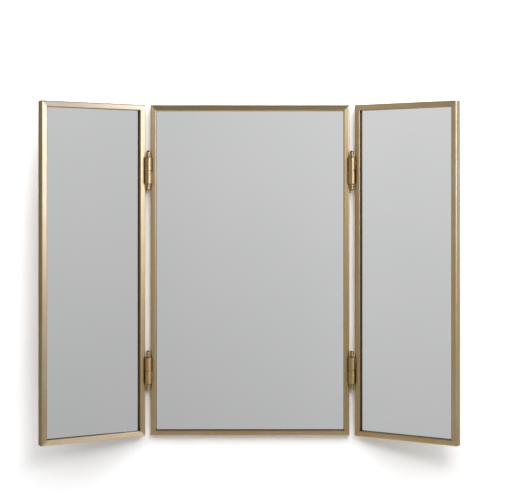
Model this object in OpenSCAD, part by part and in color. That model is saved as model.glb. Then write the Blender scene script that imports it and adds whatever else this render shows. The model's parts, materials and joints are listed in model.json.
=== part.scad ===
// Three-panel folding wall mirror. A wide middle mirror hangs on the wall, and a narrow mirror
// wing is hinged to each of its sides. Every mirror sits in a mitred frame of brass angle.
// The origin is midway between the two wall screws, on the wall. X runs to the right, Y runs
// into the wall and Z runs up. Millimetres.

/* [Panels] */
// Height of all three frames
panel_h = 762; // [600:1:900]
// Width of the middle frame
middle_w = 458; // [400:1:600]
// Width of each wing frame
wing_w = 254; // [150:1:280]
// How far each wing stands forward of flat, in degrees
wing_open = 32; // [0:1:120]

/* [Frame bar] */
// Width of the bar's front face
bar_w = 13; // [11:0.5:20]
// Depth of the bar from front to back
bar_d = 20; // [16:0.5:24]
// Thickness of the bar's outer wall
bar_t = 3; // [2.5:0.1:4]
// Depth of the bar's front lip, which sets the mirror back
lip_d = 6; // [3:0.5:6]
// Radius of the bar's two front edges
edge_r = 2.2; // [0.5:0.1:2.4]

/* [Glass and backing] */
// Thickness of the mirror glass
glass_t = 4; // [3:0.5:5]
// Thickness of the felt between the glass and the board
felt_t = 1; // [0.5:0.5:2]
// Thickness of the backing board
board_t = 6; // [4:0.5:6]

/* [Hinges] */
// Gap between the middle frame and a wing that lies flat
hinge_gap = 10.6; // [9:0.1:16]
// How far the hinge axis stands in front of the frames
hinge_forward = 3; // [2:0.1:6]
// Distance from a frame's end to the middle of its hinge
hinge_inset = 151; // [90:1:220]
// Radius of the hinge barrel
barrel_r = 8; // [7:0.1:9]
// Height of one knuckle
knuckle_h = 30; // [20:1:45]
// Radius of the hinge pin
pin_r = 4; // [3:0.1:5]
// Radius of the turned tip at each end of a hinge
tip_r = 4.6; // [4:0.1:6]
// Length of the turned tip outside the barrel
tip_h = 16; // [13:0.5:24]

/* [Hanging] */
// Distance between the two wall screws
hanger_spacing = 304.8; // [200:0.1:360]
// Distance of the wall screws below the top of the frame
hanger_drop = 100; // [60:1:200]
// Space between the wall and the back of the frame
stand_off = 3; // [2:0.5:5]
// Radius of the round entry of a keyhole
keyhole_r = 5; // [4.5:0.1:5.5]
// Radius of the narrow end of a keyhole
keyslot_r = 2.4; // [2.1:0.1:2.6]

/* [Hidden] */
$fn = 48;
bar_names = ["left_stile", "top_rail", "right_stile", "bottom_rail"];
part_names = ["mirror", "felt", "backing_board", "board_screws", "wall_bumpers"];
hinge_names = ["wing_knuckle", "frame_knuckle", "hinge_pin", "washer", "top_tip", "bottom_tip"];
side_names = ["left", "right"];
level_names = ["upper", "lower"];

brass = "darkgoldenrod";
cut = 1;                                   // how far a cutting shape passes the face it cuts
front_y = -(stand_off + bar_d);            // front plane of the middle frame
panel_z = hanger_drop - panel_h / 2;       // height of the middle of the panels
hinge_x = middle_w / 2 + hinge_gap / 2;    // hinge axis, from the middle of the mirror
hinge_z = panel_h / 2 - hinge_inset;       // hinge height, from the middle of the panels

glass_gap = 1;                             // play round the glass
board_gap = 0.5;                           // play round the felt and the board
glass_y = lip_d;                           // depth behind the front plane
felt_y = glass_y + glass_t;
board_y = felt_y + felt_t;
board_back = board_y + board_t;

screw_r = 1.5;                             // board screws, countersunk into the bar's wall
screw_head_r = 2.7;
screw_head_h = 1.5;
screw_l = 14;
slot_w = 0.8;                              // driver slot of every screw
slot_d = 0.7;
stile_stations = [0.08, 0.36, 0.64, 0.92]; // where screws sit along a bar, as shares of it
rail_stations = [0.25, 0.75];
all_sides = [0, 1, 2, 3];                  // left stile, top rail, right stile, bottom rail
wing_screwed = [0, 1, 3];                  // the outer stile has no screws

joint_gap = 1;                             // space between two knuckles, which the washer fills
washer_t = 0.8;
washer_play = 0.1;
knuckle_bevel = 0.6;
barrel_play = 0.4;                         // room round a knuckle beside the other frame
pin_play = 0.05;                           // radial play of the pin in the wing's knuckle
spigot_h = 6;                              // length of a tip inside its knuckle
tip_neck_r = 3.3;
tip_neck_h = 1.6;
tip_collar_h = 3.8;
tip_groove_h = 1;

hanger_t = 1.5;                            // sheet that the hangers are bent from
hanger_bridge_w = 22;                      // outside width of the raised part
hanger_foot_w = 12;
hanger_below = 12;                         // reach of a hanger below and above its entry hole
hanger_above = 24;
keyslot_rise = 13;
hanger_h = bar_d + stand_off - board_back; // height of a hanger above the board
hanger_screw_r = 2;
hanger_screw_l = 4.5;
hanger_screw_head_r = 3.6;
hanger_screw_head_h = 2;
bumper_r = 6;
bumper_in = 24;                            // bumper centre, from the frame's outer edges

// ---- frame bars -------------------------------------------------------------------------------

// Cross-section of the bar: outer edge at x = 0, front at y = 0, opening towards +x.
module bar_section() {
    translate([0, edge_r]) square([bar_t, bar_d - edge_r]);
    translate([0, edge_r]) square([bar_w, lip_d - edge_r]);
    translate([edge_r, 0]) square([bar_w - 2 * edge_r, edge_r]);
    intersection() {
        for (x = [edge_r, bar_w - edge_r]) translate([x, edge_r]) circle(edge_r);
        square([bar_w, edge_r]);
    }
}

// A bar along +z with both ends mitred at 45 degrees.
module mitred_bar(length) {
    intersection() {
        linear_extrude(length) bar_section();
        rotate([90, 0, 0]) translate([0, 0, -2 * bar_d]) linear_extrude(3 * bar_d)
            polygon([[-cut, -cut], [bar_w + cut, bar_w + cut],
                     [bar_w + cut, length - bar_w - cut], [-cut, length + cut]]);
    }
}

// Puts a bar's own frame on one side of a panel: 0 left, 1 top, 2 right, 3 bottom. The panel's
// origin is its middle, on its front plane.
module on_side(side, w) {
    x = side < 2 ? -w / 2 : w / 2;
    z = side == 1 || side == 2 ? panel_h / 2 : -panel_h / 2;
    translate([x, 0, z]) rotate([0, 90 * side, 0]) children();
}

function bar_length(side, w) = side % 2 == 0 ? panel_h : w;

// Puts the children at every screw station of one bar, with +z driving inwards.
module at_screws(side, w) {
    stations = side % 2 == 0 ? stile_stations : rail_stations;
    on_side(side, w)
        for (s = stations)
            translate([0, board_y + board_t / 2, s * bar_length(side, w)])
                rotate([0, 90, 0]) children();
}

module screw_hole() {
    translate([0, 0, -cut]) cylinder(r = screw_r, h = screw_l + cut);
    cylinder(r1 = screw_head_r, r2 = screw_r, h = screw_head_h);
}

// Room for one hinge in a stile: a seat for the stile's own knuckle, above, and clearance for
// the other frame's knuckle, below.
module hinge_cut() {
    translate([0, 0, joint_gap / 2]) cylinder(r = barrel_r, h = knuckle_h);
    translate([0, 0, -joint_gap / 2 - knuckle_h - barrel_play])
        cylinder(r = barrel_r + barrel_play, h = knuckle_h + joint_gap + barrel_play);
}

// One bar of a frame. own is 1 where the stile carries the upper knuckle, -1 where it carries
// the lower one, and 0 where it has no hinge. axis_x is the hinge axis in the panel.
module frame_bar(side, w, screwed, own, axis_x) {
    color(brass) difference() {
        on_side(side, w) mitred_bar(bar_length(side, w));
        if (screwed) at_screws(side, w) screw_hole();
        if (own != 0)
            for (z = [-hinge_z, hinge_z])
                translate([axis_x, -hinge_forward, z])
                    mirror([0, 0, own < 0 ? 1 : 0]) hinge_cut();
    }
}

// ---- what a panel holds -----------------------------------------------------------------------

// A sheet that fills a panel of width w, with play all round.
module panel_sheet(w, y, t, play) {
    sheet_w = w - 2 * (bar_t + play);
    sheet_h = panel_h - 2 * (bar_t + play);
    translate([-sheet_w / 2, y, -sheet_h / 2]) cube([sheet_w, t, sheet_h]);
}

module mirror_glass(w) {
    color("silver") panel_sheet(w, glass_y, glass_t, glass_gap);
}

module felt(w) {
    color("dimgray") panel_sheet(w, felt_y, felt_t, board_gap);
}

module backing_board(w, screwed_sides) {
    color("peru") difference() {
        panel_sheet(w, board_y, board_t, board_gap);
        for (side = screwed_sides) at_screws(side, w) screw_hole();
    }
}

module board_screws(w, screwed_sides) {
    color(brass)
        for (side = screwed_sides)
            at_screws(side, w) difference() {
                union() {
                    cylinder(r1 = screw_head_r, r2 = screw_r, h = screw_head_h);
                    cylinder(r = screw_r, h = screw_l);
                }
                translate([-screw_head_r, -slot_w / 2, -cut])
                    cube([2 * screw_head_r, slot_w, slot_d + cut]);
            }
}

// Rubber pads on the back of the board, one at each [x, z] place.
module wall_bumpers(places) {
    color("black")
        for (p = places)
            translate([p[0], board_back, p[1]])
                rotate([-90, 0, 0]) cylinder(r = bumper_r, h = hanger_h);
}

// ---- middle panel -----------------------------------------------------------------------------

module on_middle() {
    translate([0, front_y, panel_z]) children();
}

module middle_bar(side) {
    hinged = side % 2 == 0;
    on_middle()
        frame_bar(side, middle_w, true, hinged ? -1 : 0, side == 0 ? -hinge_x : hinge_x);
}

module middle_part(name) {
    x = middle_w / 2 - bumper_in;
    z = -panel_h / 2 + bumper_in;
    on_middle() {
        if (name == "mirror") mirror_glass(middle_w);
        if (name == "felt") felt(middle_w);
        if (name == "backing_board") middle_board();
        if (name == "board_screws") board_screws(middle_w, all_sides);
        if (name == "wall_bumpers") wall_bumpers([[-x, z], [x, z]]);
    }
}

// The middle board also takes the screws of the hangers.
module middle_board() {
    difference() {
        backing_board(middle_w, all_sides);
        translate([0, -front_y, -panel_z])
            for (x = [-hanger_spacing / 2, hanger_spacing / 2])
                translate([x, 0, 0]) at_hanger_screws() hanger_screw_hole();
    }
}

// ---- hangers ----------------------------------------------------------------------------------

// The children sit where a hanger's two screws enter its feet, with +z driving inwards.
module at_hanger_screws() {
    foot_x = hanger_bridge_w / 2 + hanger_foot_w / 2;
    for (x = [-foot_x, foot_x])
        translate([x, hanger_t - hanger_h, (hanger_above - hanger_below) / 2])
            rotate([90, 0, 0]) children();
}

module hanger_screw_hole() {
    translate([0, 0, -cut]) cylinder(r = hanger_screw_r, h = hanger_screw_l + cut);
}

// A keyhole hanger, bent from sheet into a hat. Its origin is the middle of the entry hole,
// on the wall.
module hanger() {
    outer = hanger_bridge_w / 2;
    inner = outer - hanger_t;
    foot = outer + hanger_foot_w;
    color(brass) difference() {
        translate([0, 0, -hanger_below]) linear_extrude(hanger_below + hanger_above)
            polygon([[-foot, -hanger_h], [-inner, -hanger_h], [-inner, -hanger_t],
                     [inner, -hanger_t], [inner, -hanger_h], [foot, -hanger_h],
                     [foot, hanger_t - hanger_h], [outer, hanger_t - hanger_h], [outer, 0],
                     [-outer, 0], [-outer, hanger_t - hanger_h], [-foot, hanger_t - hanger_h]]);
        translate([0, cut, 0]) rotate([90, 0, 0]) {
            cylinder(r = keyhole_r, h = hanger_t + 2 * cut);
            translate([0, keyslot_rise, 0]) cylinder(r = keyslot_r, h = hanger_t + 2 * cut);
            translate([-keyslot_r, 0, 0]) cube([2 * keyslot_r, keyslot_rise, hanger_t + 2 * cut]);
        }
        at_hanger_screws() hanger_screw_hole();
    }
}

module place_hanger(side) {
    translate([side * hanger_spacing / 2, 0, 0]) hanger();
}

module hanger_screws() {
    color(brass)
        for (side = [-1, 1])
            translate([side * hanger_spacing / 2, 0, 0]) at_hanger_screws() difference() {
                union() {
                    cylinder(r = hanger_screw_r, h = hanger_screw_l);
                    translate([0, 0, -hanger_screw_head_h])
                        cylinder(r1 = hanger_screw_r, r2 = hanger_screw_head_r,
                                 h = hanger_screw_head_h);
                }
                translate([-hanger_screw_head_r, -slot_w / 2, -hanger_screw_head_h - cut])
                    cube([2 * hanger_screw_head_r, slot_w, slot_d + cut]);
            }
}

// ---- wings ------------------------------------------------------------------------------------

// Puts a panel with its hinge on its left into place as the wing of one side: -1 or 1.
module on_wing(side) {
    mirror([side < 0 ? 1 : 0, 0, 0])
        translate([hinge_x, front_y - hinge_forward, panel_z])
            rotate([0, 0, -wing_open])
                translate([hinge_gap / 2 + wing_w / 2, hinge_forward, 0]) children();
}

// A bar by its name as seen from the front, so that the left wing's right stile has the hinge.
module wing_bar(wing, side) {
    own_side = wing < 0 ? [2, 1, 0, 3][side] : side;
    on_wing(wing)
        frame_bar(own_side, wing_w, own_side != 2, own_side == 0 ? 1 : 0,
                  -wing_w / 2 - hinge_gap / 2);
}

module wing_part(wing, name) {
    x = wing_w / 2 - bumper_in;
    z = panel_h / 2 - bumper_in;
    on_wing(wing) {
        if (name == "mirror") mirror_glass(wing_w);
        if (name == "felt") felt(wing_w);
        if (name == "backing_board") backing_board(wing_w, wing_screwed);
        if (name == "board_screws") board_screws(wing_w, wing_screwed);
        if (name == "wall_bumpers") wall_bumpers([[x, -z], [x, z]]);
    }
}

// ---- hinges -----------------------------------------------------------------------------------

// Puts the children on a hinge axis, at the middle of the hinge. side is -1 or 1, level 1 or -1.
module at_hinge(side, level) {
    translate([side * hinge_x, front_y - hinge_forward, panel_z + level * hinge_z]) children();
}

// A knuckle from z = 0 up, with bevelled rims.
module knuckle(bore_r) {
    b = knuckle_bevel;
    color(brass) rotate_extrude()
        polygon([[bore_r, 0], [barrel_r - b, 0], [barrel_r, b], [barrel_r, knuckle_h - b],
                 [barrel_r - b, knuckle_h], [bore_r, knuckle_h]]);
}

// The pin is fixed in the lower knuckle and turns in the upper one.
module hinge_pin() {
    bottom = joint_gap / 2 + knuckle_h - spigot_h;
    color("gold") translate([0, 0, -bottom]) cylinder(r = pin_r, h = 2 * bottom - joint_gap / 2);
}

module washer() {
    color("gold") translate([0, 0, -joint_gap / 2]) difference() {
        cylinder(r = barrel_r - knuckle_bevel, h = washer_t);
        translate([0, 0, -cut]) cylinder(r = pin_r + washer_play, h = washer_t + 2 * cut);
    }
}

// A turned tip that plugs a knuckle's bore: neck, collar, groove and domed end. z = 0 is the
// knuckle's end.
module tip(bore_r) {
    collar_z = tip_neck_h;
    bulb_z = collar_z + tip_collar_h + tip_groove_h;
    dome_z = tip_h - tip_r;
    color(brass) rotate_extrude() {
        translate([0, -spigot_h]) square([bore_r, spigot_h]);
        square([tip_neck_r, dome_z]);
        translate([0, collar_z]) square([tip_r, tip_collar_h]);
        translate([0, bulb_z]) square([tip_r, dome_z - bulb_z]);
        translate([0, dome_z]) intersection() {
            circle(tip_r);
            square(tip_r);
        }
    }
}

module hinge_part(side, level, name) {
    end_z = joint_gap / 2 + knuckle_h;
    at_hinge(side, level) {
        if (name == "wing_knuckle") translate([0, 0, joint_gap / 2]) knuckle(pin_r + pin_play);
        if (name == "frame_knuckle") translate([0, 0, -end_z]) knuckle(pin_r);
        if (name == "hinge_pin") hinge_pin();
        if (name == "washer") washer();
        if (name == "top_tip") translate([0, 0, end_z]) tip(pin_r + pin_play);
        if (name == "bottom_tip") mirror([0, 0, 1]) translate([0, 0, end_z]) tip(pin_r);
    }
}

// ---- the nodes --------------------------------------------------------------------------------

for (side = all_sides)
    middle_bar(side);
for (name = part_names)
    middle_part(name);
place_hanger(-1);  // left_hanger
place_hanger(1);  // right_hanger
hanger_screws();

for (s = [0, 1]) {
    for (side = all_sides)
        wing_bar(2 * s - 1, side);
    for (name = part_names)
        wing_part(2 * s - 1, name);
    for (l = [0, 1], name = hinge_names)
        hinge_part(2 * s - 1, 1 - 2 * l, name);
}
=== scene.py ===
"""The looks of a three-panel folding wall mirror: brass frames, silvered glass and turned hinges.

Everything is in metres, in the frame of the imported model: X to the right, Y into the wall, Z up.
Angles written as plain numbers are in degrees.
"""
import json
import math

import bmesh
import bpy
from mathutils import Matrix, Vector

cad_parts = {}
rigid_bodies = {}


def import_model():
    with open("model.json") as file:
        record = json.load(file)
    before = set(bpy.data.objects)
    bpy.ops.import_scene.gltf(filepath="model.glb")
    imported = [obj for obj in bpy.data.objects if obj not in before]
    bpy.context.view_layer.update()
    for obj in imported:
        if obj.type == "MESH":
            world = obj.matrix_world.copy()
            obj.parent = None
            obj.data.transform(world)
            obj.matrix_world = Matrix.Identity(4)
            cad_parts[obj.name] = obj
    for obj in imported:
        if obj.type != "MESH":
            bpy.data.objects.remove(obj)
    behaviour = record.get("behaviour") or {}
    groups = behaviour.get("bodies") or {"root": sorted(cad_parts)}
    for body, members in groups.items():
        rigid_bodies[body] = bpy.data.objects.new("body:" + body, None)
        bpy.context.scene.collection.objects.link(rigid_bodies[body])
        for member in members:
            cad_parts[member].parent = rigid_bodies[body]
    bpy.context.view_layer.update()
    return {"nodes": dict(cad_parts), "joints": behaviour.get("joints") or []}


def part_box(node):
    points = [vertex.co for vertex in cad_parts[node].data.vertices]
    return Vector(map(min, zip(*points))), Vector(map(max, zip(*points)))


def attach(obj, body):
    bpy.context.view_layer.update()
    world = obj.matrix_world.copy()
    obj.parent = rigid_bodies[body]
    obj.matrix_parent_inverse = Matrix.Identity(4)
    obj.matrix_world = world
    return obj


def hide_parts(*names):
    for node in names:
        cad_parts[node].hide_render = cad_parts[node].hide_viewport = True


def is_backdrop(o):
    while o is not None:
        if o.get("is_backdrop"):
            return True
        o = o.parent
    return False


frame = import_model()

MM = 0.001
SIDES = ("left", "right")
LEVELS = ("upper", "lower")
PANELS = ("middle", "left_wing", "right_wing")
STILES = ("left_stile", "right_stile")
RAILS = ("top_rail", "bottom_rail")
BACK = Vector((0, 1, 0))
FRONT = Vector((0, -1))             # in plan


# ---- measures taken from the frame --------------------------------------------------------------

middle_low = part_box("middle_left_stile")[0]
middle_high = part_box("middle_right_stile")[1]
PANEL_CENTRE = (middle_low + middle_high) / 2
FRONT_Y = middle_low.y
HINGE_AXIS = {j["child"]: Vector(j["pos_m"]) for j in frame["joints"]}


def wing_angle(side):
    """How far a wing stands forward of flat, in radians, from where its outer stile is."""
    axis = HINGE_AXIS[side + "_wing"]
    low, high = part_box(f"{side}_wing_{side}_stile")
    reach = abs((low.x if side == "left" else high.x) - axis.x)
    return math.atan2(axis.y - low.y, reach)


# ---- nodes of a material ------------------------------------------------------------------------

WHITE = (1, 1, 1, 1)

# A Mix node has sockets for every kind of data. These are the ones that mix two colours.
MIX_INPUTS = (0, 6, 7)
MIX_RESULT = 2


def connect(tree, socket, value):
    """Sets an input to a value, or links it to another node's output."""
    if isinstance(value, bpy.types.NodeSocket):
        tree.links.new(value, socket)
    else:
        socket.default_value = value


def node(tree, kind, inputs=None, **settings):
    made = tree.nodes.new("ShaderNode" + kind)
    for name, value in settings.items():
        setattr(made, name, value)
    for name, value in (inputs or {}).items():
        connect(tree, made.inputs[name], value)
    return made


def object_coordinates(tree):
    return node(tree, "TexCoord").outputs["Object"]


def noise(tree, vector, scale, detail=3.0, roughness=0.5):
    inputs = {"Vector": vector, "Scale": scale, "Detail": detail, "Roughness": roughness}
    return node(tree, "TexNoise", inputs).outputs["Fac"]


def streaks(tree, along, across, turn, detail=3.0, roughness=0.5):
    """A noise drawn out along the x axis turned by turn, its streaks about along by across."""
    inputs = {"Vector": object_coordinates(tree), "Scale": (along, across, across), "Rotation": turn}
    drawn_out = node(tree, "Mapping", inputs, vector_type="TEXTURE").outputs["Vector"]
    return noise(tree, drawn_out, 1.0, detail, roughness)


def spread(tree, value, low=0.0, high=1.0, start=0.3, end=0.7):
    """Stretches the part of a value from start to end to run from low to high."""
    inputs = {"Value": value, "From Min": start, "From Max": end, "To Min": low, "To Max": high}
    return node(tree, "MapRange", inputs).outputs["Result"]


def ramp(tree, value, stops):
    """A colour ramp through (place, grey or colour) stops."""
    made = node(tree, "ValToRGB", {"Fac": value})
    elements = made.color_ramp.elements
    elements.remove(elements[1])
    for i, (place, colour) in enumerate(stops):
        element = elements.new(place) if i else elements[0]
        element.position = place
        rgb = (colour,) * 3 if isinstance(colour, (int, float)) else colour
        element.color = (*rgb, 1)
    return made.outputs["Color"]


def mix(tree, factor, first, second, blend="MIX"):
    made = node(tree, "Mix", data_type="RGBA", blend_type=blend)
    for place, value in zip(MIX_INPUTS, (factor, first, second)):
        connect(tree, made.inputs[place], value)
    return made.outputs[MIX_RESULT]


def multiply(tree, first, second):
    return mix(tree, 1.0, first, second, blend="MULTIPLY")


def tint(tree, value, low, high, start=0.3, end=0.7):
    """One colour where a noise is low, and another where it is high."""
    return mix(tree, spread(tree, value, start=start, end=end), low, high)


def bump(tree, height, distance, strength):
    inputs = {"Height": height, "Distance": distance, "Strength": strength}
    return node(tree, "Bump", inputs).outputs["Normal"]


def feed(tree, shader, **inputs):
    """Sets or links a shader's inputs, named with _ for each space."""
    for name, value in inputs.items():
        connect(tree, shader.inputs[name.replace("_", " ")], value)


def new_material(name, **inputs):
    """A material with one Principled shader, and that shader's uniform inputs."""
    made = bpy.data.materials.new(name)
    made.use_nodes = True
    tree = made.node_tree
    tree.nodes.clear()
    shader = node(tree, "BsdfPrincipled")
    node(tree, "OutputMaterial", {"Surface": shader.outputs["BSDF"]})
    feed(tree, shader, **inputs)
    return made, tree, shader


# ---- materials ----------------------------------------------------------------------------------

PLAIN = (0, 0, 0)                   # a grain along x
UPRIGHT = (0, math.pi / 2, 0)       # a grain along z

CLEAN = (0.57, 0.370, 0.125, 1)
AGED = (0.45, 0.290, 0.090, 1)      # the film that dulls the brass in clouds
WORN = (0.86, 0.72, 0.48, 1)        # edges that are rubbed bright

QUARTER_TURN = 0.25                 # the shader counts this in full turns


def brass(name, grain, roughness, brushed, clean=CLEAN, aged=AGED, edges=True):
    """Brushed brass under a thin lacquer. The brush lines run along the x axis turned by grain.

    Its nooks and recesses carry painted shade, darkened towards black, and edges says whether its
    edges are worn bright.
    """
    made, tree, shader = new_material(
        name, Metallic=1.0, Anisotropic=brushed, Anisotropic_Rotation=QUARTER_TURN,
        Coat_Weight=0.2, Coat_Roughness=0.28, Coat_IOR=1.45)
    place = object_coordinates(tree)
    lines = streaks(tree, 60 * MM, 0.9 * MM, grain, detail=4.0, roughness=0.65)
    scratches = streaks(tree, 22 * MM, 0.35 * MM, grain, detail=2.0)
    clouds = noise(tree, place, scale=9.0, detail=4.0, roughness=0.6)
    mottle = noise(tree, place, scale=130.0, roughness=0.6)

    colour = tint(tree, clouds, low=clean, high=aged, start=0.38, end=0.66)
    colour = multiply(tree, colour, tint(tree, mottle, low=(0.86, 0.84, 0.80, 1), high=WHITE))
    colour = multiply(tree, colour, tint(tree, lines, low=(0.90, 0.89, 0.87, 1), high=WHITE))
    if edges:
        pointed = node(tree, "NewGeometry").outputs["Pointiness"]
        sharpness = spread(tree, pointed, high=0.5, start=0.52, end=0.60)
        worn = multiply(tree, sharpness, spread(tree, clouds, low=0.3))
        colour = mix(tree, worn, colour, WORN)
    # Painted shade: the colour is darkened towards near black where ambient occlusion finds nooks and
    # recesses.
    nook = node(tree, "AmbientOcclusion", {"Distance": 8 * MM}, samples=8).outputs["AO"]
    painted_nook_shade = ramp(tree, nook, [(0.55, (0.08, 0.045, 0.015)), (0.88, 1.0)])

    mottled = spread(tree, mottle, low=roughness - 0.03, high=roughness + 0.03)
    scratched = spread(tree, scratches, low=-0.04, high=0.05)
    rough = node(tree, "Math", {0: mottled, 1: scratched}, operation="ADD").outputs["Value"]
    height = mix(tree, 0.4, lines, scratches)

    # The brush direction, carried along when the piece's body moves.
    axis = Vector((1, 0, 0))
    axis.rotate(Matrix.Rotation(-grain[1], 3, "Y"))
    axis.rotate(Matrix.Rotation(grain[2], 3, "Z"))
    direction = node(tree, "CombineXYZ", dict(zip("XYZ", axis))).outputs["Vector"]
    carried = node(tree, "VectorTransform", {"Vector": direction}, vector_type="VECTOR",
                   convert_from="OBJECT", convert_to="WORLD").outputs["Vector"]
    feed(tree, shader, Base_Color=multiply(tree, colour, painted_nook_shade), Roughness=rough,
         Normal=bump(tree, height, 0.03 * MM, strength=0.6), Tangent=carried)
    return made


def frame_brass(name, grain):
    return brass(name, grain, roughness=0.40, brushed=0.7)


def silvering():
    """The mirror's silver, seen through the glass."""
    made, tree, shader = new_material("silvering", Metallic=1.0)
    haze = noise(tree, object_coordinates(tree), scale=5.0, detail=2.0)
    feed(tree, shader,
         Base_Color=tint(tree, haze, low=(0.900, 0.905, 0.905, 1), high=(0.915, 0.918, 0.917, 1)),
         Roughness=spread(tree, haze, low=0.004, high=0.012))
    return made


def lip_shade_paint():
    """The dark brown paint seen through the glass in a band inside the frame's lip, as painted shade
    there.
    """
    made, tree, shader = new_material("lip_shade_paint", Specular_IOR_Level=0.3)
    blotch = noise(tree, object_coordinates(tree), scale=90.0, detail=4.0, roughness=0.6)
    feed(tree, shader,
         Base_Color=tint(tree, blotch, low=(0.030, 0.018, 0.008, 1), high=(0.060, 0.036, 0.018, 1)),
         Roughness=spread(tree, blotch, low=0.5, high=0.7))
    return made


def clear_glass():
    made, tree, shader = new_material("clear_glass", Roughness=0.0, IOR=1.52, Transmission_Weight=1.0)
    cast = noise(tree, object_coordinates(tree), scale=3.0, detail=1.0)
    feed(tree, shader,
         Base_Color=tint(tree, cast, low=(0.982, 0.992, 0.986, 1), high=(0.992, 0.997, 0.994, 1)))
    return made


def plywood():
    """Oiled birch plywood, its grain upright."""
    made, tree, shader = new_material("plywood", Coat_Weight=0.08, Coat_Roughness=0.4)
    figure = streaks(tree, 190 * MM, 9 * MM, UPRIGHT, detail=5.0, roughness=0.6)
    fibres = streaks(tree, 40 * MM, 0.8 * MM, UPRIGHT, roughness=0.6)
    wood = ramp(tree, figure, [(0.30, (0.36, 0.215, 0.11)), (0.48, (0.50, 0.33, 0.18)),
                               (0.60, (0.56, 0.385, 0.22)), (0.74, (0.43, 0.27, 0.14))])
    shade = ramp(tree, fibres, [(0.35, 0.80), (0.62, 1.0)])
    feed(tree, shader, Base_Color=multiply(tree, wood, shade),
         Roughness=spread(tree, fibres, low=0.46, high=0.64),
         Normal=bump(tree, fibres, 0.12 * MM, strength=0.5))
    return made


def pressed_felt():
    made, tree, shader = new_material("pressed_felt", Sheen_Weight=0.4, Sheen_Roughness=0.5)
    place = object_coordinates(tree)
    fluff = noise(tree, place, scale=1400.0, detail=5.0, roughness=0.7)
    cloud = noise(tree, place, scale=35.0)
    wool = tint(tree, fluff, low=(0.055, 0.055, 0.060, 1), high=(0.115, 0.115, 0.120, 1))
    shade = tint(tree, cloud, low=(0.85, 0.85, 0.85, 1), high=WHITE)
    feed(tree, shader, Base_Color=multiply(tree, wool, shade),
         Roughness=spread(tree, fluff, low=0.85),
         Normal=bump(tree, fluff, 0.25 * MM, strength=0.8))
    return made


def black_rubber():
    made, tree, shader = new_material("black_rubber", Specular_IOR_Level=0.35)
    place = object_coordinates(tree)
    dust = noise(tree, place, scale=300.0, detail=4.0, roughness=0.6)
    pores = noise(tree, place, scale=2600.0, detail=2.0)
    dusty = tint(tree, dust, low=(0.018, 0.018, 0.018, 1), high=(0.05, 0.048, 0.045, 1),
                 start=0.45, end=0.75)
    feed(tree, shader, Base_Color=dusty, Roughness=spread(tree, dust, low=0.55, high=0.75),
         Normal=bump(tree, pores, 0.04 * MM, strength=0.6))
    return made


# ---- pieces -------------------------------------------------------------------------------------

WELD = 0.001 * MM                   # corners of a CAD mesh closer than this are one corner
FLAT_ANGLE = 0.5                    # faces that meet at less than this are one flat face
RIM_ANGLE = 60                      # edges sharper than this are a piece's rims and bends
FACES_BACK = 0.5                    # least share of a normal that points straight back


def from_node(name):
    """A clean copy of a CAD node's mesh: no split corners, flat faces in one piece."""
    mesh = bmesh.new()
    mesh.from_mesh(frame["nodes"][name].data)
    bmesh.ops.remove_doubles(mesh, verts=mesh.verts, dist=WELD)
    bmesh.ops.dissolve_limit(mesh, angle_limit=math.radians(FLAT_ANGLE), verts=mesh.verts,
                             edges=mesh.edges)
    return mesh


def add_object(name, mesh, materials):
    data = bpy.data.meshes.new(name)
    mesh.to_mesh(data)
    mesh.free()
    for material in materials:
        data.materials.append(material)
    made = bpy.data.objects.new(name, data)
    bpy.context.scene.collection.objects.link(made)
    return made


def add_piece(name, mesh, body, materials, sharp_above=35):
    """Makes a mesh into a smooth-shaded object that rides on a body."""
    piece = add_object(name, mesh, materials)
    piece.data.shade_smooth()
    piece.data.set_sharp_from_angle(angle=math.radians(sharp_above))
    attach(piece, body)
    return piece


def rim_edges(mesh):
    sharp = math.radians(RIM_ANGLE)
    return [e for e in mesh.edges if len(e.link_faces) == 2 and e.calc_face_angle() > sharp]


def round_off(mesh, edges, size, segments):
    bmesh.ops.bevel(mesh, geom=edges, offset=size, segments=segments, affect="EDGES", profile=0.5)


def back_face(mesh):
    """The largest face on the side of the wall."""
    return max(mesh.faces, key=lambda f: f.calc_area() * (f.normal.dot(BACK) > FACES_BACK))


def mirror_pane(panel, glass, silver, paint):
    """A pane with ground edges, clear at the front and silvered on its back.

    The silver stops a little inside the frame's lip, where a band of dark paint shows as painted
    shade along the lip. The back is drawn in a little, so that it stays clear of the felt.
    """
    ground_edge, drawn_in, lip_shade_band = 0.6 * MM, 0.1 * MM, 1.0 * MM
    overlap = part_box("middle_left_stile")[1].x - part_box("middle_mirror")[0].x
    mesh = from_node(panel + "_mirror")
    back = back_face(mesh)
    bmesh.ops.translate(mesh, verts=back.verts, vec=back.normal * -drawn_in)
    round_off(mesh, rim_edges(mesh), ground_edge, segments=1)
    back = back_face(mesh)
    # Painted shade: a band of dark paint inside the lip, where the silver stops, stands for the shaded
    # lip edge.
    painted_shade_border = bmesh.ops.inset_individual(mesh, faces=[back], thickness=overlap + lip_shade_band)["faces"]
    materials = [glass, silver, paint]
    back.material_index = materials.index(silver)
    for face in painted_shade_border:
        face.material_index = materials.index(paint)
    pane = add_piece(panel + "_glass", mesh, panel, materials, sharp_above=20)
    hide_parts(panel + "_mirror")


def bumpers(panel, rubber):
    """Rubber pads with a rounded rim."""
    rim = 1.4 * MM
    mesh = from_node(panel + "_wall_bumpers")
    round_off(mesh, rim_edges(mesh), rim, segments=4)
    pads = add_piece(panel + "_rubber_pads", mesh, panel, [rubber], sharp_above=50)
    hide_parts(panel + "_wall_bumpers")


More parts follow.
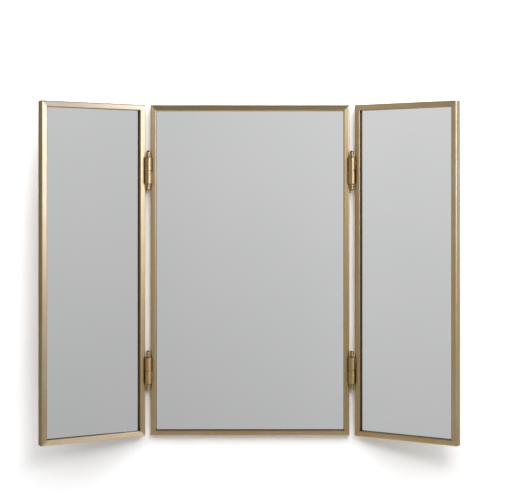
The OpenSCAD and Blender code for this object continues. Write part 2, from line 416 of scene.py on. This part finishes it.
def bent_hanger(side, metal):
    """A hanger with round bends: a small radius inside each bend and a larger one outside.

    The bends are the long upright edges on both sides of the raised pocket.
    """
    outer_radius, inner_radius, pocket_half = 1.9 * MM, 0.6 * MM, 12 * MM
    mesh = from_node(side + "_hanger")
    low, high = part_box(side + "_hanger")
    nearly_full = 0.9 * (high.z - low.z)
    middle_x = (low.x + high.x) / 2
    bends = [e for e in rim_edges(mesh)
             if e.calc_length() > nearly_full and abs(e.verts[0].co.x - middle_x) < pocket_half]
    outer = [e for e in bends if e.is_convex]
    inner = [e for e in bends if not e.is_convex]
    round_off(mesh, outer, outer_radius, segments=5)
    round_off(mesh, [e for e in inner if e.is_valid], inner_radius, segments=4)
    plate = add_piece(side + "_keyhole_hanger", mesh, "middle", [metal])
    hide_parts(side + "_hanger")


# ---- brazing between the knuckles and the stiles ------------------------------------------------

FACE_FILLET = 1.5 * MM              # on the front of the stile
SIDE_FILLET = 1.2 * MM              # on the side of the stile
SUNK = 0.25 * MM                    # how far a bead's hidden corner lies inside the metal
BEAD_MARGIN = 1.0 * MM              # from the knuckle's end to the bead's end
BEAD_TAPER = 1.2 * MM               # the length over which each end of a bead thins out
TAPER_STEPS = ((0.0, 0.25), (0.35, 0.75), (1.0, 1.0))   # shares of that length and of the full size


def fillet_outline(axis, radius, fillet, along, out, reach, steps=6):
    """Outline of a concave bead between a round barrel and a flat face.

    The face runs along one direction and faces out, at this reach from the axis along out.
    """
    offset = reach + fillet
    slide = math.sqrt((radius + fillet) ** 2 - offset ** 2)
    centre = axis + along * slide + out * offset
    foot = centre - out * fillet
    touch = axis + (centre - axis) * radius / (radius + fillet)
    start = math.atan2((foot - centre).y, (foot - centre).x)
    end = math.atan2((touch - centre).y, (touch - centre).x)
    sweep = (end - start + math.pi) % (2 * math.pi) - math.pi
    angles = [start + sweep * i / steps for i in range(steps + 1)]
    arc = [centre + Vector((math.cos(a), math.sin(a))) * fillet for a in angles]
    corner = axis + along * math.sqrt(radius ** 2 - reach ** 2) + out * reach
    return [corner + (corner - centre).normalized() * SUNK] + arc


def bead(mesh, outline, low_z, high_z):
    """Extrudes an outline upright, and tapers it at both ends towards its first point."""
    rising = [(low_z + place * BEAD_TAPER, share) for place, share in TAPER_STEPS]
    falling = [(high_z - place * BEAD_TAPER, share) for place, share in reversed(TAPER_STEPS)]
    corner = outline[0]
    rings = []
    for z, share in rising + falling:
        rings.append([mesh.verts.new((*(corner + (p - corner) * share), z)) for p in outline])
    count = len(outline)
    for lower, upper in zip(rings, rings[1:]):
        for i in range(count):
            j = (i + 1) % count
            mesh.faces.new((lower[i], lower[j], upper[j], upper[i]))
    mesh.faces.new(list(reversed(rings[0])))
    mesh.faces.new(rings[-1])


def brazing(side, level, owner, metal):
    """The two brazed seams that hold one knuckle on its stile."""
    low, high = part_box(f"{side}_{level}_{owner}_knuckle")
    axis = HINGE_AXIS[side + "_wing"].to_2d()
    radius = (high.x - low.x) / 2
    away = -1 if side == "left" else 1
    if owner == "wing":
        body = side + "_wing"
        spin = Matrix.Rotation(-away * wing_angle(side), 2)
        along = spin @ Vector((away, 0))
    else:
        body = "middle"
        spin = Matrix.Identity(2)
        along = Vector((-away, 0))
    facing = spin @ FRONT
    forward = FRONT_Y - axis.y
    gap = abs(axis.x) - middle_high.x
    mesh = bmesh.new()
    face_seam = fillet_outline(axis, radius, FACE_FILLET, along, facing, -forward)
    side_seam = fillet_outline(axis, radius, SIDE_FILLET, -facing, -along, -gap)
    for outline in (face_seam, side_seam):
        bead(mesh, outline, low.z + BEAD_MARGIN, high.z - BEAD_MARGIN)
    bmesh.ops.recalc_face_normals(mesh, faces=mesh.faces)
    add_piece(f"{side}_{level}_{owner}_brazing", mesh, body, [metal], sharp_above=60)


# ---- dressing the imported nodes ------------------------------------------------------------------

def dress(name, material):
    """Gives a CAD node a material in place of its plain one."""
    piece = frame["nodes"][name]
    piece.data.materials.clear()
    piece.data.materials.append(material)


def dress_all():
    upright = frame_brass("brass_upright", UPRIGHT)
    turned = brass("brass_turned", PLAIN, roughness=0.33, brushed=0.45)
    bright = brass("brass_pin", PLAIN, roughness=0.2, brushed=0.3,
                   clean=(0.78, 0.61, 0.34, 1), aged=(0.66, 0.50, 0.27, 1))
    sheet = brass("brass_sheet", UPRIGHT, roughness=0.3, brushed=0.7,
                  clean=(0.68, 0.53, 0.30, 1), aged=(0.52, 0.38, 0.20, 1), edges=False)
    screw = brass("brass_screw", PLAIN, roughness=0.28, brushed=0.2,
                  clean=(0.72, 0.56, 0.32, 1), aged=(0.56, 0.42, 0.23, 1), edges=False)
    wood, fluff, rubber = plywood(), pressed_felt(), black_rubber()
    glass, silver, paint = clear_glass(), silvering(), lip_shade_paint()
    turns = {"middle": 0, "left_wing": wing_angle("left"), "right_wing": -wing_angle("right")}
    for panel in PANELS:
        level = frame_brass("brass_level_" + panel, (0, 0, turns[panel]))
        for bar in STILES:
            dress(f"{panel}_{bar}", upright)
        for bar in RAILS:
            dress(f"{panel}_{bar}", level)
        dress(panel + "_felt", fluff)
        dress(panel + "_backing_board", wood)
        dress(panel + "_board_screws", screw)
        mirror_pane(panel, glass, silver, paint)
        bumpers(panel, rubber)
    dress("hanger_screws", screw)
    for side in SIDES:
        bent_hanger(side, sheet)
        for level in LEVELS:
            hinge = f"{side}_{level}_"
            for part in ("wing_knuckle", "frame_knuckle", "top_tip", "bottom_tip"):
                dress(hinge + part, turned)
            for part in ("hinge_pin", "washer"):
                dress(hinge + part, bright)
            for owner in ("wing", "frame"):
                brazing(side, level, owner, turned)


# ---- room ---------------------------------------------------------------------------------------

ROOM_HALF = 4.0                     # half the width of the wall and the floor
WALL_Y = 0.5 * MM
WALL_TOP = 3.0
FLOOR_Z = -2.2
FLOOR_FRONT = -4.2
FLOOR_REAR = 2.0


def pale_paint(name, one_sided):
    """Matt white paint. A one-sided sheet is clear from behind, so that it never hides the back."""
    made, tree, shader = new_material(name, Roughness=0.9, Specular_IOR_Level=0.2)
    mottle = noise(tree, object_coordinates(tree), scale=4.0, detail=2.0)
    feed(tree, shader,
         Base_Color=tint(tree, mottle, low=(0.90, 0.90, 0.90, 1), high=(0.92, 0.92, 0.92, 1)))
    if one_sided:
        behind = node(tree, "NewGeometry").outputs["Backfacing"]
        clear = node(tree, "BsdfTransparent").outputs["BSDF"]
        both = node(tree, "MixShader", {0: behind, 1: shader.outputs["BSDF"], 2: clear})
        output = next(n for n in tree.nodes if n.type == "OUTPUT_MATERIAL")
        tree.links.new(both.outputs["Shader"], output.inputs["Surface"])
    return made


def stage_sheet(name, corners, paint):
    mesh = bmesh.new()
    mesh.faces.new([mesh.verts.new(c) for c in corners])
    made = add_object(name, mesh, [paint])
    made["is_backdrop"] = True
    return made


def wall():
    """The wall that the mirror hangs on.

    It takes the mirror's shadow, and lets light from behind it reach the mirror's back.
    """
    corners = [(-ROOM_HALF, WALL_Y, FLOOR_Z), (ROOM_HALF, WALL_Y, FLOOR_Z),
               (ROOM_HALF, WALL_Y, WALL_TOP), (-ROOM_HALF, WALL_Y, WALL_TOP)]
    made = stage_sheet("wall", corners, pale_paint("wall_paint", one_sided=True))
    made.visible_shadow = False
    made.visible_diffuse = False
    made.visible_glossy = False
    made.visible_transmission = False


def floor():
    corners = [(-ROOM_HALF, FLOOR_FRONT, FLOOR_Z), (ROOM_HALF, FLOOR_FRONT, FLOOR_Z),
               (ROOM_HALF, FLOOR_REAR, FLOOR_Z), (-ROOM_HALF, FLOOR_REAR, FLOOR_Z)]
    stage_sheet("floor", corners, pale_paint("floor_paint", one_sided=False))


def around(azimuth, elevation, distance):
    """A place this far from the mirror's middle, azimuth degrees to the right of straight in front."""
    a, e = math.radians(azimuth), math.radians(elevation)
    heading = Vector((math.sin(a) * math.cos(e), -math.cos(a) * math.cos(e), math.sin(e)))
    return PANEL_CENTRE + heading * distance


def softbox(name, lit, azimuth, elevation, distance, size, power, colour=(1, 1, 1)):
    """A soft light aimed at the mirror's middle, that lights only the objects in one collection."""
    data = bpy.data.lights.new(name, "AREA")
    data.shape = "RECTANGLE"
    data.size, data.size_y = size
    data.energy = power
    data.color = colour
    made = bpy.data.objects.new(name, data)
    made.location = around(azimuth, elevation, distance)
    made.rotation_euler = (PANEL_CENTRE - made.location).to_track_quat("-Z", "Y").to_euler()
    made.light_linking.receiver_collection = lit
    bpy.context.scene.collection.objects.link(made)


def lights():
    """The room and the metal are lit apart, so that the room stays plain white whatever glints.

    No softbox lights the panes, so the mirrors show only the surroundings.
    """
    room = bpy.data.collections.new("room")
    metal = bpy.data.collections.new("metal")
    for o in bpy.context.scene.objects:
        if o.type == "MESH" and not o.name.endswith("_glass"):
            (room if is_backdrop(o) else metal).objects.link(o)
    softbox("wall_key", room, azimuth=11, elevation=18, distance=3.0, size=(0.8, 0.7), power=35)
    softbox("wall_overhead", room, azimuth=5, elevation=50, distance=2.6, size=(4.4, 2.6), power=140)
    softbox("floor_rear", room, azimuth=180, elevation=62, distance=3.2, size=(3.0, 2.4), power=70)
    softbox("key", metal, azimuth=30, elevation=13, distance=3.0, size=(0.7, 0.7), power=18,
            colour=(0.88, 1.0, 1.50))
    softbox("side", metal, azimuth=62, elevation=12, distance=2.6, size=(0.8, 1.4), power=24,
            colour=(0.82, 1.0, 1.65))
    softbox("left", metal, azimuth=-62, elevation=28, distance=2.6, size=(0.6, 0.5), power=4)
    softbox("rear", metal, azimuth=160, elevation=35, distance=2.6, size=(1.8, 1.4), power=40)


def surroundings():
    """A plain studio, which is what the mirrors show: grey below, paler above.

    To the metal it is dark overhead and underfoot, so that the rails are darker than the stiles.
    Behind the wall it is dim on the left and brighter on the right, as the wall itself looks to
    the outer sides of the frames. The camera sees a plain pale backdrop in its place.
    """
    world = bpy.data.worlds.new("studio")
    bpy.context.scene.world = world
    world.use_nodes = True
    tree = world.node_tree
    tree.nodes.clear()
    direction = node(tree, "TexCoord").outputs["Generated"]
    parts = node(tree, "SeparateXYZ", {"Vector": direction}).outputs
    height = spread(tree, parts["Z"], start=-0.5, end=0.5)
    in_glass = ramp(tree, height, [(0.0, 0.36), (0.33, 0.50), (0.58, 0.66), (1.0, 0.62)])
    on_metal = ramp(tree, height, [(0.0, 0.08), (0.24, 0.14), (0.33, 0.50), (0.58, 0.66),
                                   (0.64, 0.36), (0.71, 0.06), (1.0, 0.04)])
    rays = node(tree, "LightPath").outputs
    band = mix(tree, rays["Is Transmission Ray"], on_metal, in_glass)
    sideways = spread(tree, parts["X"], start=-1.0, end=1.0)
    drift = ramp(tree, sideways, [(0.0, 0.97), (0.25, 0.955), (0.40, 0.88), (0.46, 0.855),
                                  (0.525, 0.95), (0.65, 0.91), (0.85, 0.855), (1.0, 0.84)])
    ahead = multiply(tree, band, drift)
    behind = ramp(tree, sideways, [(0.0, 0.18), (0.5, 0.28), (1.0, 0.44)])
    tone = mix(tree, spread(tree, parts["Y"], start=-0.02, end=0.10), ahead, behind)
    shown = mix(tree, rays["Is Camera Ray"], tone, (0.82, 0.82, 0.82, 1))
    background = node(tree, "Background", {"Color": shown, "Strength": 1.1})
    node(tree, "OutputWorld", {"Surface": background.outputs["Background"]})


def camera():
    """Level, straight ahead, and a little above the middle of the mirror."""
    across, distance, rise = 0.0465, 3.04, 0.144
    data = bpy.data.cameras.new("camera")
    data.lens = 92.6
    data.shift_x = -0.0267
    data.shift_y = -0.0858
    made = bpy.data.objects.new("camera", data)
    made.location = (across, FRONT_Y - distance, PANEL_CENTRE.z + rise)
    made.rotation_euler = (math.pi / 2, 0, 0)
    bpy.context.scene.collection.objects.link(made)
    bpy.context.scene.camera = made
    bpy.context.scene.view_settings.view_transform = "Standard"


dress_all()
wall()
floor()
lights()
surroundings()
camera()
